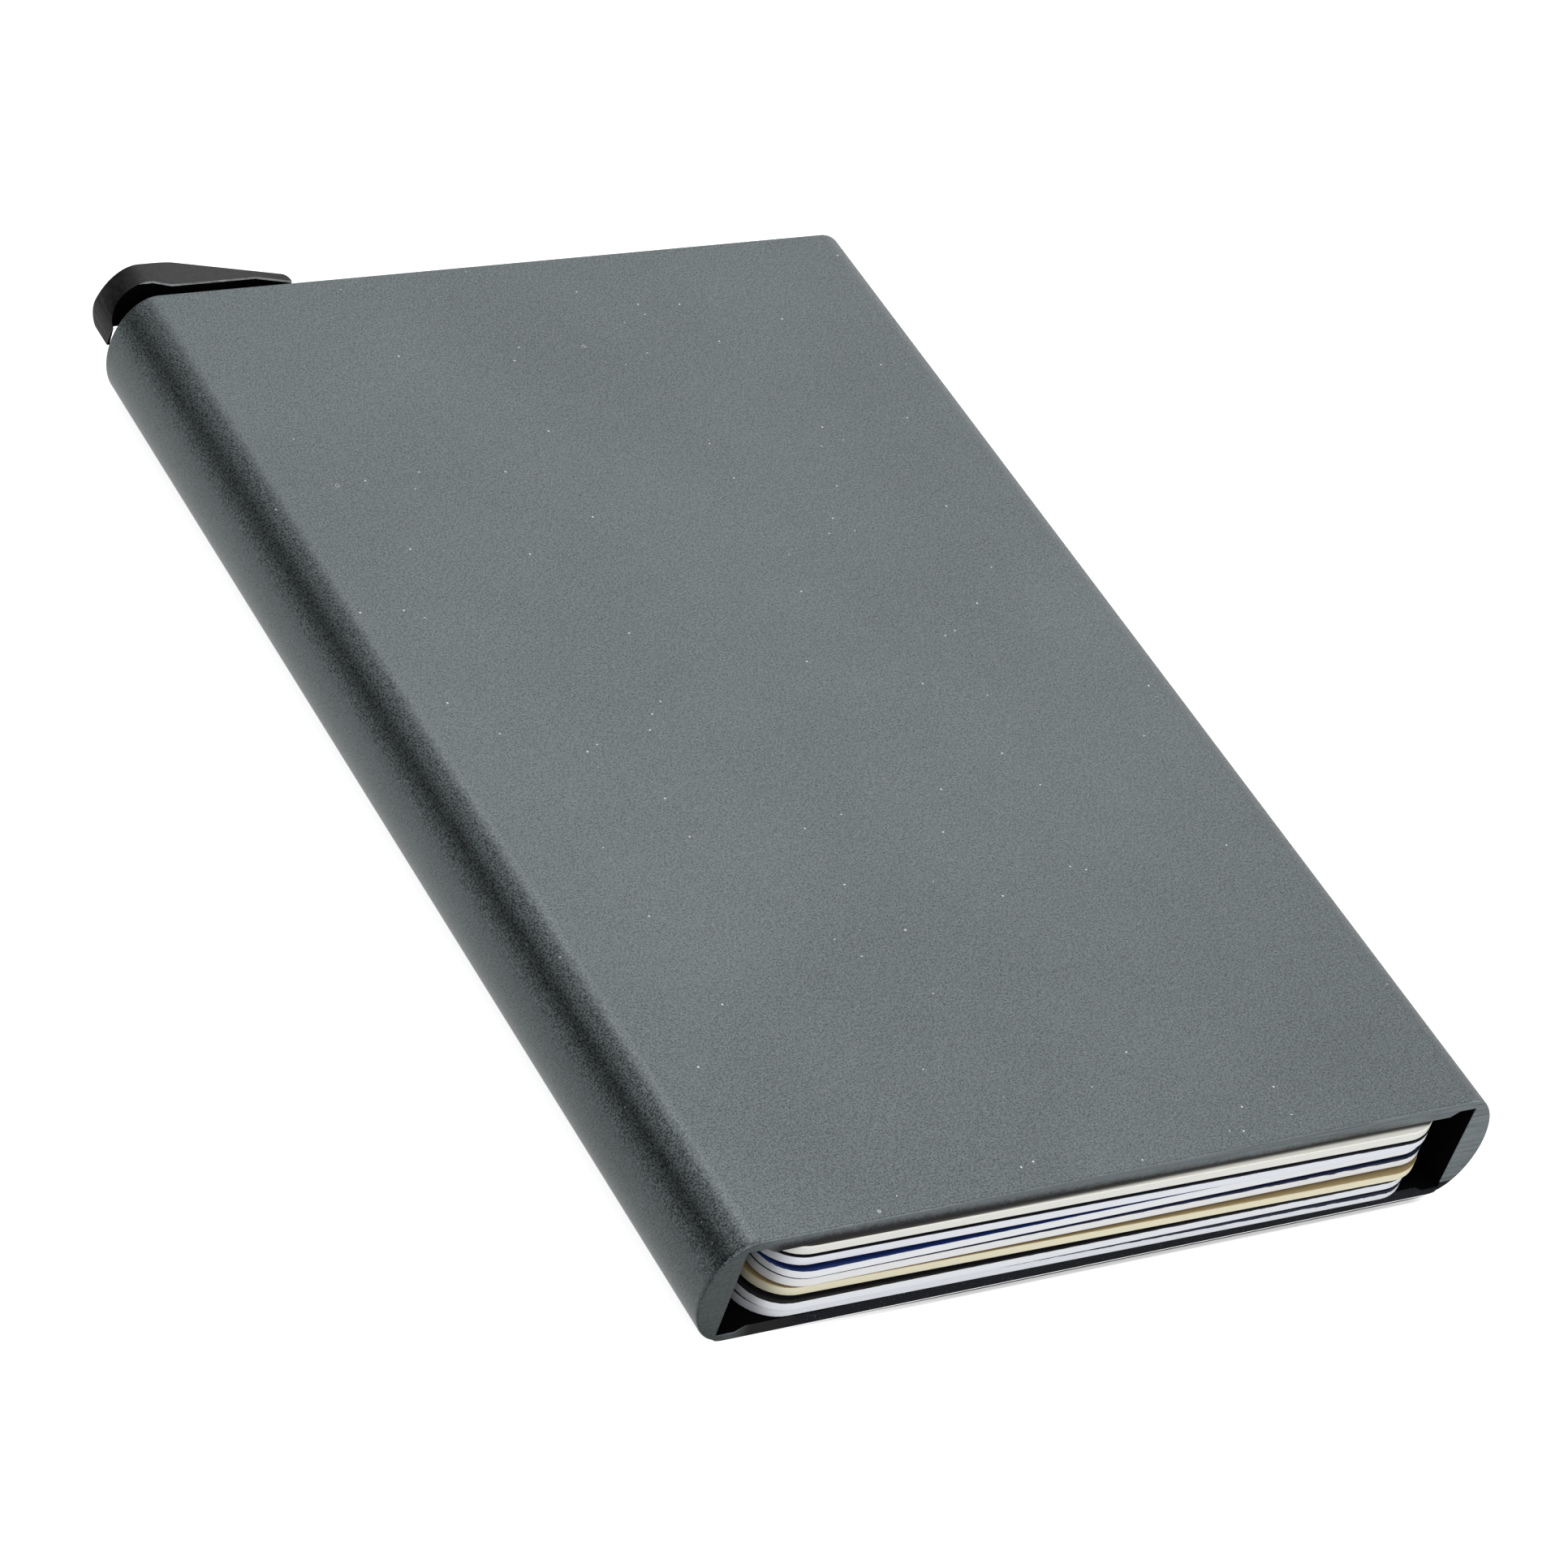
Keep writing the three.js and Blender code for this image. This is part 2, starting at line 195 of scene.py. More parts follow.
sheet = Finish("table_sheet")
rays = sheet.node("ShaderNodeLightPath", output="Is Camera Ray")
seen = rays + rays.output("Is Transmission Ray")
mirrored = rays.output("Is Glossy Ray") * (1 - seen)
side = sheet.along("X")
before_mouth = sheet.along("Y") * -1 - half_length
# Painted reflection: what the metal sees of the sheet dims to the left and close to the mouth.
mirror_shade_near_mouth = sheet.ramp(before_mouth, near_from, near_to, near_shade, 0.0) * (before_mouth > 0)
painted_mirror_shade = sheet.ramp(side * -1, shade_from, shade_to, mirrored_near, mirrored_far)
painted_mirror_shade *= 1 - mirror_shade_near_mouth
mouth_span = sheet.ramp(side, -mouth_half, -mouth_left_share * mouth_half) * (before_mouth > 0)
mouth_span *= sheet.ramp(side, mouth_right_share * mouth_half, mouth_half, 1.0, 0.0)
contact_full = contact_full_share * contact_reach
# Painted shadow: a thin contact shadow and a broader shade under the mouth's lip.
painted_contact_shadow = sheet.ramp(before_mouth, contact_full, contact_reach, contact_shade, 0.0) * mouth_span
painted_lip_shadow = sheet.ramp(before_mouth, lip_shade_from, lip_shade_to, lip_shade, 0.0) * mouth_span
sheet.set(Base_Color=sheet.mix(mirrored + painted_contact_shadow, table_white, (0, 0, 0)), Roughness=1.0,
          Specular_IOR_Level=0.0)
white = (1 - painted_lip_shadow) * (1 - painted_contact_shadow) * table_glow
glow_inputs = {"Color": (1, 1, 1), "Strength": seen * white + mirrored * painted_mirror_shade}
glow = sheet.node("ShaderNodeEmission", inputs=glow_inputs)
base = Wire(sheet, sheet.shader.outputs["BSDF"])
lit = sheet.node("ShaderNodeAddShader", inputs={0: base, 1: glow})
sheet.fill(sheet.tree.nodes["Material Output"], {"Surface": lit})
stage_piece(table_mesh, "table_top", sheet)


# Studio: an even white tent, one large soft lamp high up behind the holder and a weaker one low in
# front. A flag on the left glows with painted light, dark below and grey above and lighter towards
# the back, and draws the dark line along the flank.
tent_light = 0.75
tent = Finish("tent", bpy.data.worlds.new("tent"))
bpy.context.scene.world = tent.data
rays = tent.node("ShaderNodeLightPath", output="Is Camera Ray")
direct = rays + rays.output("Is Glossy Ray") + rays.output("Is Transmission Ray")
tent_shade = tent.mix(direct.maths("MINIMUM", direct, 1.0), (tent_light,) * 3, (1, 1, 1))
tent.fill(tent.tree.nodes["Background"], {"Color": tent_shade, "Strength": 1.0})

flag_distance = 0.55
flag_height = 1.0
flag_from = 72
flag_to = 190
flag_steps = 20
flag_dark = 0.15
flag_grey = 0.45
dark_to = 0.16
grey_from = 0.34
foot_left = -0.47
foot_right = -0.36
top_left = -0.25
top_right = 0.18
flag_mesh = bmesh.new()
foot = flag_mesh.verts.new((flag_distance, 0, 0))
tip = flag_mesh.verts.new((flag_distance, 0, flag_height))
foot_edge = flag_mesh.edges.new((foot, tip))
bmesh.ops.rotate(flag_mesh, verts=flag_mesh.verts, cent=(0, 0, 0),
                 matrix=Matrix.Rotation(math.radians(flag_from), 3, "Z"))
bmesh.ops.spin(flag_mesh, geom=[foot, tip, foot_edge], cent=(0, 0, 0), axis=(0, 0, 1),
               angle=math.radians(flag_to - flag_from), steps=flag_steps)
# The cloth glows: its emission is painted light, dark below and grey above.
glowing_cloth = Finish("glowing_flag_cloth")
across = glowing_cloth.along("X")
cloth_foot = glowing_cloth.ramp(across, foot_left, foot_right, 0.0, flag_dark)
cloth_top = glowing_cloth.ramp(across, top_left, top_right, flag_grey, 1.0)
cloth_rise = glowing_cloth.ramp(glowing_cloth.along("Z"), dark_to, grey_from)
glowing_cloth.set(Base_Color=(0, 0, 0), Roughness=1.0, Emission_Color=(1, 1, 1),
          Emission_Strength=cloth_foot + (cloth_top - cloth_foot) * cloth_rise)
flag = stage_piece(flag_mesh, "flag", glowing_cloth)
flag.visible_camera = False


def soft_lamp(name, size, power, place):
    data = bpy.data.lights.new(name, "AREA")
    data.shape = "SQUARE"
    data.size = size
    data.energy = power
    lamp = bpy.data.objects.new(name, data)
    bpy.context.collection.objects.link(lamp)
    lamp.location = place
    lamp.rotation_euler = (-Vector(place)).to_track_quat("-Z", "Y").to_euler()


soft_lamp("lamp_behind", size=0.9, power=3.0, place=(0.1, 0.25, 1.0))
soft_lamp("lamp_in_front", size=0.6, power=2.0, place=(0.15, -0.9, 0.3))


# Sleeve: one length of extruded aluminium with solid half-round flanks and a channel down each
# side of its bore. It is sawn to length, its ends are dressed, then it is bead-blasted and
# anodised grey. The bore keeps the die's smooth dark skin, whose near-black colour also paints in
# the shade deep inside the bore.
flank_bulge = 3.0 * mm
flank_wall = 2.3 * mm
floor_wall = 1.05 * mm
roof_wall = 1.3 * mm
channel_width = 1.4 * mm
channel_slope = 0.7 * mm
channel_depth = 0.42 * mm
flank_steps = 36
end_round = 0.20 * mm
crisp_round = 0.05 * mm
soft_steps = 3
crisp_steps = 2
squarely = 0.9
crease_angle = math.radians(50)
half_height = sleeve_high.z / 2
bore_half = sleeve_high.x - flank_wall
flat_half = sleeve_high.x - flank_bulge
floor_height = floor_wall
roof_height = sleeve_high.z - roof_wall


def edges_of(mesh, test):
    return [edge for edge in mesh.edges if test(edge)]


def smooth_piece(mesh, name, finishes, body, node):
    data = bpy.data.meshes.new(name)
    for face in mesh.faces:
        face.smooth = True
    mesh.to_mesh(data)
    mesh.free()
    data.set_sharp_from_angle(angle=crease_angle)
    for finish in finishes:
        data.materials.append(finish.data)
    made = bpy.data.objects.new(name, data)
    bpy.context.collection.objects.link(made)
    made.modifiers.new("even_shading", "WEIGHTED_NORMAL").keep_sharp = True
    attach(made, body)
    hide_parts(node)


shell = bmesh.new()
crown = shell.verts.new((0, -half_length, half_height))
bmesh.ops.spin(shell, geom=[crown], cent=(0, 0, 0), axis=(0, 1, 0), angle=math.pi,
               steps=flank_steps)
bmesh.ops.scale(shell, vec=(flank_bulge / half_height, 1, 1), verts=shell.verts)
bmesh.ops.translate(shell, vec=(flat_half, 0, half_height), verts=shell.verts)
channel_side = bore_half - channel_width
land_side = channel_side - channel_slope
bore_outline = [(land_side, floor_height), (channel_side, floor_height - channel_depth),
                (bore_half, floor_height - channel_depth),
                (bore_half, roof_height + channel_depth),
                (channel_side, roof_height + channel_depth), (land_side, roof_height)]
bore_verts = [shell.verts.new((x, -half_length, z)) for x, z in bore_outline]
for start, end in zip(bore_verts, bore_verts[1:]):
    shell.edges.new((start, end))
bmesh.ops.mirror(shell, geom=shell.verts[:] + shell.edges[:], axis="X", merge_dist=-1)
for height in (0, floor_height, roof_height, 2 * half_height):
    ends = [vert for vert in shell.verts
            if abs(vert.co.z - height) < end_round / 10 and len(vert.link_edges) == 1]
    shell.edges.new(ends)
mouth_edges = shell.edges[:]
drawn = bmesh.ops.extrude_edge_only(shell, edges=mouth_edges)["geom"]
far_verts = [part for part in drawn if isinstance(part, bmesh.types.BMVert)]
far_edges = [part for part in drawn if isinstance(part, bmesh.types.BMEdge)
             and all(vert in far_verts for vert in part.verts)]
bmesh.ops.translate(shell, vec=(0, 2 * half_length, 0), verts=far_verts)
for rim in (mouth_edges, far_edges):
    bmesh.ops.triangle_fill(shell, use_beauty=True, edges=rim)
bmesh.ops.recalc_face_normals(shell, faces=shell.faces)


def in_bore(edge):
    return all(abs(vert.co.x) < bore_half + crisp_round
               and floor_height - channel_depth - crisp_round < vert.co.z
               and vert.co.z < roof_height + channel_depth + crisp_round
               for vert in edge.verts)


blasted_slot, sawn_slot, bore_slot = range(3)
for face in shell.faces:
    if abs(face.normal.y) > squarely:
        face.material_index = sawn_slot
    elif all(in_bore(edge) for edge in face.edges):
        face.material_index = bore_slot
    else:
        face.material_index = blasted_slot


def is_rim(edge):
    return {abs(face.normal.y) > squarely for face in edge.link_faces} == {True, False}


def is_crisp(edge):
    return in_bore(edge) or all(vert.co.z < end_round for vert in edge.verts)


soft_rims = edges_of(shell, lambda edge: is_rim(edge) and not is_crisp(edge))
bmesh.ops.bevel(shell, geom=soft_rims, offset=end_round, segments=soft_steps, profile=0.5,
                affect="EDGES", material=-1)
crisp_rims = edges_of(shell, lambda edge: is_rim(edge) and is_crisp(edge))
bmesh.ops.bevel(shell, geom=crisp_rims, offset=crisp_round, segments=crisp_steps, profile=0.5,
                affect="EDGES", material=sawn_slot)


def noise(finish, place, grain, detail=2.0, rough=0.5):
    inputs = {"Vector": place, "Scale": 1 / grain, "Detail": detail, "Roughness": rough}
    return finish.node("ShaderNodeTexNoise", inputs=inputs)


def stretched(finish, place, scale):
    return finish.node("ShaderNodeMapping", inputs={"Vector": place, "Scale": scale})


def specks(finish, place, cell, radius, share):
    cells = finish.node("ShaderNodeTexVoronoi", inputs={"Vector": place, "Scale": 1 / cell})
    kinds = finish.node("ShaderNodeSeparateColor", inputs={"Color": cells.output("Color")})
    return (cells < radius / cell) * (kinds < share)


def bump(finish, height, depth):
    return finish.node("ShaderNodeBump", inputs={"Height": height, "Distance": depth})


def shades(colour, low, high):
    return tuple(low * part for part in colour), tuple(high * part for part in colour)


# Blasted skin: a fine even grain, with a few bright and dark specks and some pits where a bead bit
# deeper, each with a painted highlight on its rim and painted shade in its floor. The grain's
# contrast is raised along the upper flanks as painted glints. Painted shade darkens the grey
# towards the mouth, most at the left flank's rim.
blasted_grey = (0.146, 0.169, 0.174)
blasted_grain = 0.13 * mm
grain_contrast = 2.45
band_contrast = 15.0
cloud_contrast = 0.19
band_from = 6.0 * mm
band_full_from = 7.2 * mm
band_full_to = 8.6 * mm
band_to = 9.15 * mm
mouth_shade = 0.127
rim_from = 0.1 * mm
rim_to = 0.5 * mm
rim_shade = 0.35
pit_cell = 7 * mm
pit_share = 0.6
speck_share = 0.16
bright_metal = (0.75, 0.78, 0.78)
dark_metal = (0.02, 0.024, 0.03)
pit_highlight_colour = (0.6, 0.62, 0.62)
lip_dark = (0.003, 0.005, 0.010)
blasted = Finish("anodised_blasted")
place = blasted.place()
grain = noise(blasted, place, blasted_grain, detail=3.0, rough=0.75)
cloud = noise(blasted, place, 14 * mm)
light_speck = specks(blasted, place, cell=1.1 * mm, radius=0.08 * mm, share=speck_share)
dark_speck = specks(blasted, place, cell=1.3 * mm, radius=0.085 * mm, share=speck_share)
pit_highlight = specks(blasted, place, pit_cell, radius=0.17 * mm, share=pit_share)
pit_shade = specks(blasted, place, pit_cell, radius=0.11 * mm, share=pit_share)
# Painted shade: the grey grows darker towards the mouth.
painted_mouth_shade = blasted.ramp(blasted.along("Y"), -half_length, 0, mouth_shade, 0.0)
up = blasted.along("Z")
# Painted glints: the grain's contrast is raised along the upper flanks.
painted_glint_band = blasted.ramp(up, band_from, band_full_from, 0, band_contrast)
painted_glint_band *= blasted.ramp(up, band_full_to, band_to, 1.0, 0.0)
# Painted shade: the left flank darkens close to the mouth's rim.
painted_rim_shade = blasted.ramp(blasted.along("Y") + half_length, rim_from, rim_to, rim_shade, 0.0)
painted_rim_shade *= (blasted.along("X") < -flat_half)
tone = (grain - 0.5) * (grain_contrast + painted_glint_band) + (cloud - 0.5) * cloud_contrast + 0.5 - painted_mouth_shade
grey = blasted.mix(tone, *shades(blasted_grey, 0.4, 1.6))
grey = blasted.mix(painted_rim_shade, grey, lip_dark)
grey = blasted.mix(light_speck * 0.8, grey, bright_metal)
grey = blasted.mix(dark_speck * 0.55, grey, dark_metal)
# Painted highlight on each pit's rim and painted shade in its floor.
grey = blasted.mix(pit_highlight * 0.6, grey, pit_highlight_colour)
grey = blasted.mix(pit_shade * 0.9, grey, shades(blasted_grey, 0.5, 1)[0])
blasted.set(Base_Color=grey, Metallic=0.9, Roughness=0.24 + 0.08 * grain,
            Normal=bump(blasted, grain, depth=0.014 * mm))

# Sawn ends: fine lines across the face. Painted shade makes them darker on the left and painted
# light lighter at the right end. Painted shade also darkens the floor's lip, which keeps a few
# light chips, and the lower half of the roof's edge, most on the side of the lever.
roof_dark = (0.020, 0.018, 0.020)
chipped_metal = (0.3, 0.32, 0.33)
lip_middle = 4 * mm
lip_ragged = 4 * mm
lip_from = 28.5 * mm
lip_to = 31 * mm
lip_margin = 0.05 * mm
roof_shade_pitted = 0.5 * mm
roof_shade_ragged = 0.3 * mm
roof_shade_lowering = 0.6 * mm
roof_shade_from = 0.32 * mm
roof_shade_to = 1.2 * mm
left_light = 0.20
middle_light = 0.67
right_light = 0.14
sawn_rim_from = 0.01 * mm
sawn_rim_to = 0.08 * mm
sawn_rim_shade = 0.38
chip_level = 0.70
chip_strength = 0.4
sawn = Finish("anodised_sawn_ends")
place = sawn.place()
side = sawn.along("X")
up = sawn.along("Z")
lines = noise(sawn, stretched(sawn, place, (0.03, 1, 1)), 0.10 * mm)
pits = noise(sawn, place, 0.14 * mm)
ragged = noise(sawn, place, 1.2 * mm, detail=3.0)
# Painted shade on the floor's lip; a few light chips stay in it.
lip_reach = abs(side - lip_middle) + ragged * lip_ragged
painted_lip_shade = sawn.ramp(lip_reach, lip_from, lip_to, 1.0, 0.0) * (up < floor_wall + lip_margin)
# Painted shade on the lower half of the roof's edge, most on the side of the lever.
fade_height = up + (pits - 0.5) * roof_shade_pitted + (ragged - 0.5) * roof_shade_ragged
fade_height += sawn.ramp(side, -24 * mm, 14 * mm, 0, roof_shade_lowering)
painted_roof_shade = sawn.ramp(fade_height, roof_height + roof_shade_from, roof_height + roof_shade_to, 1.0, 0.0)
painted_roof_shade *= sawn.ramp(side, -28.5 * mm, -26.5 * mm)
painted_roof_shade *= sawn.ramp(side, 20 * mm, 25 * mm, 1.0, 0.0)
streaks = (lines - 0.5) * sawn.ramp(side, -10 * mm, 28 * mm, 0.25, 1.6) + (pits - 0.5) * 0.5
# Painted shade and light: the end faces are darker on the left and lighter at the right end.
light = sawn.ramp(side, -29.5 * mm, -26 * mm, left_light, middle_light)
light += sawn.ramp(side, 20 * mm, 28 * mm, 0, right_light)
# Painted shade: on the left, the sawn finish darkens just behind the mouth's face, on its rims.
painted_rim_shade = sawn.ramp(sawn.along("Y") + half_length, sawn_rim_from, sawn_rim_to, 0.0, sawn_rim_shade)
painted_rim_shade *= (side < -flat_half)
metal = sawn.mix(light + streaks, *shades(blasted_grey, 0.35, 1.70))
metal = sawn.mix(painted_rim_shade, metal, lip_dark)
metal = sawn.mix(painted_roof_shade, metal, roof_dark)
metal = sawn.mix(painted_lip_shade, metal, lip_dark)
metal = sawn.mix((pits > chip_level) * painted_lip_shade * chip_strength, metal, chipped_metal)
sawn.set(Base_Color=metal, Metallic=0.9, Roughness=0.38 + 0.12 * lines,
         Normal=bump(sawn, lines, depth=0.006 * mm))

# Painted shade: the near-black bore colour stands partly for the shade deep inside the bore.
bore = Finish("anodised_bore")
draw_lines = noise(bore, stretched(bore, bore.place(), (1, 0.02, 1)), 0.2 * mm)
bore_low = (0.0003, 0.0003, 0.0004)
bore_high = (0.0014, 0.0014, 0.0016)
bore.set(Base_Color=bore.mix(draw_lines, bore_low, bore_high), Roughness=0.8,
         Normal=bump(bore, draw_lines, depth=0.003 * mm), Specular_IOR_Level=0.05)
smooth_piece(shell, "sleeve", [blasted, sawn, bore], "case", "case_sleeve")


# Cards: seven laminated plastic cards. A white core lies between two printed sheets under clear
# film, so the cut edge shows the core and thin darker lines, and each print shows along its front.
# The darker lines also carry painted shade from the gaps between the cards.
card_width = 53.98 * mm
card_length = 85.6 * mm
card_corner = 3.18 * mm
card_rim = 0.035 * mm
corner_steps = 12
card_rim_steps = 2
low_film = 0.05 * mm
corner_film_from = -26.5 * mm
corner_film_to = -23.5 * mm
corner_shade_widening = 2.2
edge_shade_depth = 1.2 * mm
face_shade_depth = 0.05 * mm
face_shade_reach = 0.20 * mm
top_card_shade = 0.85
other_card_shade = 0.2
card_low, card_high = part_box("card_1")
card_thickness = card_high.z - card_low.z
core_slot, front_slot, back_slot = range(3)

# Turn in degrees, record's slot, depth of the top print on the left and right in mm, then the
# colours of core, top print and underside print of each card, lowest first
cards = [
    (0.5625, "card_white", 0.03, 0.28, (0.76, 0.78, 0.83), (0.012, 0.016, 0.036),
     (0.60, 0.62, 0.64)),
    (0.1125, "card_white", 0.06, 0.15, (0.80, 0.82, 0.86), (0.008, 0.008, 0.010),
     (0.55, 0.57, 0.60)),
    (0.75, "card_cream", 0.04, 0.10, (0.80, 0.75, 0.56), (0.36, 0.27, 0.13),
     (0.60, 0.56, 0.44)),
    (0.0, "card_white", 0.03, 0.20, (0.81, 0.81, 0.81), (0.009, 0.015, 0.048),
     (0.50, 0.50, 0.52)),
    (-0.3375, "card_white", 0.09, 0.04, (0.82, 0.84, 0.87), (0.005, 0.018, 0.105),
     (0.62, 0.64, 0.68)),
    (0.6375, "card_blue_white", 0.04, 0.14, (0.79, 0.81, 0.87), (0.010, 0.011, 0.018),
     (0.60, 0.62, 0.68)),
    (0.675, "card_ivory", 0.10, 0.10, (0.79, 0.79, 0.74), (0.93, 0.91, 0.83),
     (0.60, 0.60, 0.56)),
]


def laminated_finishes(number, low_z, left_film, right_film, core, front, back):
    edge = Finish(f"card_{number}_edge")
    fibre = noise(edge, edge.place(), 0.15 * mm)
    wave = noise(edge, stretched(edge, edge.place(), (0.3, 1, 1)), 0.25 * mm, detail=3.0)
    side = edge.along("X")
    up = edge.along("Z")
    before_mouth = edge.along("Y") * -1 - half_length
    # Top print lines: partly print, partly painted shade of the card gaps, wider at the left
    # corners.
    film = edge.ramp(side, -card_width / 2, card_width / 2, left_film * mm, right_film * mm)
    film *= edge.ramp(side, corner_film_from, corner_film_to, corner_shade_widening, 1.0) * (0.5 + wave)
    in_top_film = up + film > low_z + card_thickness
    in_low_film = up < low_z + low_film
    # Painted shade: the cut edge darkens where it lies back inside the mouth.
    shade_inside_mouth = edge.ramp(before_mouth, -edge_shade_depth, 0, 0.5, 0.0)
    colour = edge.mix(fibre, *shades(core, 0.96, 1.03))
    colour = edge.mix(shade_inside_mouth, colour, roof_dark)
    colour = edge.mix(in_top_film, colour, front)
    colour = edge.mix(in_low_film * 0.25, colour, shades(core, 0.6, 1)[0])
    edge.set(Base_Color=colour, Roughness=0.45 + 0.1 * fibre, Specular_IOR_Level=0.15)
    face_shade = top_card_shade if number == len(cards) else other_card_shade
    faces = []
    for name, shade in (("front", front), ("back", back)):
        face = Finish(f"card_{number}_{name}")
        speckle = noise(face, face.place(), 0.5 * mm, detail=3.0)
        before_mouth = face.along("Y") * -1 - half_length
        # Painted shade: the print darkens near the mouth, most on the top card under the roof.
        shade_inside_mouth = face.ramp(before_mouth, -face_shade_depth, face_shade_reach, face_shade, 0.0)
        print_colour = face.mix(speckle, *shades(shade, 0.93, 1.07))
        face.set(Base_Color=face.mix(shade_inside_mouth, print_colour, roof_dark),
                 Roughness=0.22 + 0.06 * speckle, Normal=bump(face, speckle, depth=0.002 * mm),
                 Specular_IOR_Level=0.25)
        faces.append(face)
    return [edge, *faces]


for number, (turn, slot, *prints) in enumerate(cards, 1):
    node = f"card_{number}"
    card_low, card_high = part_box(node)
    middle = (card_low + card_high) / 2
    card = bmesh.new()
    bmesh.ops.create_grid(card, x_segments=1, y_segments=1, size=0.5)
    bmesh.ops.scale(card, vec=(card_width, card_length, 1), verts=card.verts)
    bmesh.ops.bevel(card, geom=card.verts[:], offset=card_corner, segments=corner_steps,
                    profile=0.5, affect="VERTICES", material=-1)
    raised = bmesh.ops.extrude_face_region(card, geom=card.faces[:])["geom"]
    raised_verts = [part for part in raised if isinstance(part, bmesh.types.BMVert)]
    bmesh.ops.translate(card, vec=(0, 0, card_thickness), verts=raised_verts)
    bmesh.ops.recalc_face_normals(card, faces=card.faces)
    for face in card.faces:
        if abs(face.normal.z) > squarely:
            face.material_index = front_slot if face.normal.z > 0 else back_slot
    rims = edges_of(card, lambda edge: any(abs(face.normal.z) > squarely
                                           for face in edge.link_faces))
    bmesh.ops.bevel(card, geom=rims, offset=card_rim, segments=card_rim_steps, profile=0.5,
                    affect="EDGES", material=core_slot)
    bmesh.ops.rotate(card, verts=card.verts, cent=(0, 0, 0),
                     matrix=Matrix.Rotation(math.radians(-turn), 3, "Z"))
    bmesh.ops.translate(card, vec=(middle.x, middle.y, card_low.z), verts=card.verts)
    finishes = laminated_finishes(number, card_low.z, *prints)
    smooth_piece(card, f"bank_card_{number}", finishes, node, node)


# Brake strips: black velour on springy foam, glued along both side walls of the bore. The pile
# lies at the cards' long edges and holds them by friction.
pile_round = 0.1 * mm
foam_round = 0.06 * mm
strip_round_steps = 2
strip_cuts = 24


def strip_block(node, rounding):
    low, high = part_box(node)
    block = bmesh.new()
    bmesh.ops.create_cube(block, size=1)
    bmesh.ops.scale(block, vec=high - low, verts=block.verts)
    bmesh.ops.translate(block, vec=(low + high) / 2, verts=block.verts)
    bmesh.ops.bevel(block, geom=block.edges[:], offset=rounding, segments=strip_round_steps,
                    profile=0.5, affect="EDGES", material=-1)
    half = (high.y - low.y) / 2
    long_edges = edges_of(block, lambda edge: abs(edge.verts[0].co.y - edge.verts[1].co.y) > half)
    bmesh.ops.subdivide_edges(block, edges=long_edges, cuts=strip_cuts, use_grid_fill=True)
    return block


velour = Finish("velour_pile")
place = velour.place()
pile = noise(velour, place, 0.08 * mm, detail=3.0, rough=0.7)
nap = noise(velour, place, 2 * mm)
# Painted shade: the pile is darker than real black cloth, for the shade deep in the bore.
pile_low = (0.0004, 0.0004, 0.0004)
pile_high = (0.0028, 0.0028, 0.003)
velour.set(Base_Color=velour.mix(pile * 0.7 + nap * 0.3, pile_low, pile_high), Roughness=0.95,
           Normal=bump(velour, pile, depth=0.05 * mm), Specular_IOR_Level=0.05)

foam_cell = 0.22 * mm
# Painted shade: the foam is darker than real black foam, for the shade deep in the bore.
foam_high = (0.004, 0.004, 0.0045)
foam_low = (0.001, 0.001, 0.001)
foam = Finish("foam_cells")
cell_inputs = {"Vector": foam.place(), "Scale": 1 / foam_cell}
cells = foam.node("ShaderNodeTexVoronoi", inputs=cell_inputs)
foam.set(Base_Color=foam.mix(cells, foam_high, foam_low), Roughness=0.9,
         Normal=bump(foam, cells, depth=0.08 * mm), Specular_IOR_Level=0.1)

for side in ("left", "right"):
    pile_node = f"brake_velour_{side}"
    foam_node = f"brake_foam_{side}"
    smooth_piece(strip_block(pile_node, pile_round), f"velour_strip_{side}", [velour], "case",
                 pile_node)
    smooth_piece(strip_block(foam_node, foam_round), f"foam_strip_{side}", [foam], "case",
                 foam_node)


# End cap: a black glass-filled nylon moulding, bonded into the far end. It takes the CAD solid's
# shape with flat faces, and the small radii that a mould leaves on every edge.
mould_round = 0.08 * mm
mould_steps = 3
weld_distance = 0.002 * mm
flat_angle = math.radians(1.0)
sharp_angle = math.radians(40)


def moulded(node, widths, is_wide=None):
    solid = bmesh.new()
    solid.from_mesh(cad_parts[node].data)
    bmesh.ops.remove_doubles(solid, verts=solid.verts, dist=weld_distance)
    bmesh.ops.dissolve_limit(solid, angle_limit=flat_angle, verts=solid.verts,
                             edges=solid.edges)
    for face in solid.faces:
        face.material_index = 0
    for width, wide in widths:
        sharp = edges_of(solid, lambda edge: len(edge.link_faces) == 2
                         and edge.calc_face_angle(0) > sharp_angle
                         and bool(is_wide and is_wide(edge)) == wide)
        bmesh.ops.bevel(solid, geom=sharp, offset=width, segments=mould_steps, profile=0.5,
                        affect="EDGES", material=-1, clamp_overlap=True)
    return solid


nylon = Finish("black_nylon")
spark = noise(nylon, nylon.place(), 0.25 * mm, detail=4.0, rough=0.6)
nylon.set(Base_Color=nylon.mix(spark, (0.008, 0.008, 0.009), (0.022, 0.022, 0.024)),
          Roughness=0.50 + 0.15 * spark, Normal=bump(nylon, spark, depth=0.01 * mm))
smooth_piece(moulded("end_cap", [(mould_round, False)]), "cap_moulding", [nylon], "case",
             "end_cap")


# Lever: one black nylon moulding of tab, neck, hub and stepped arm. Only its tab is seen, with a
# satin skin and rounded edges. Painted light makes the skin lighter where it faces up, most on the
# middle of its top, and a painted reflection lightens its low tip.
tab_round = 0.3 * mm
tab_from = half_length + 0.05 * mm
tab_above = 4.2 * mm
satin_low = (0.002, 0.002, 0.0025)
satin_high = (0.050, 0.046, 0.048)
top_shine = 0.42
tip_shine = 0.35


def on_tab(edge):
    return all(vert.co.y > tab_from and vert.co.z > tab_above for vert in edge.verts)


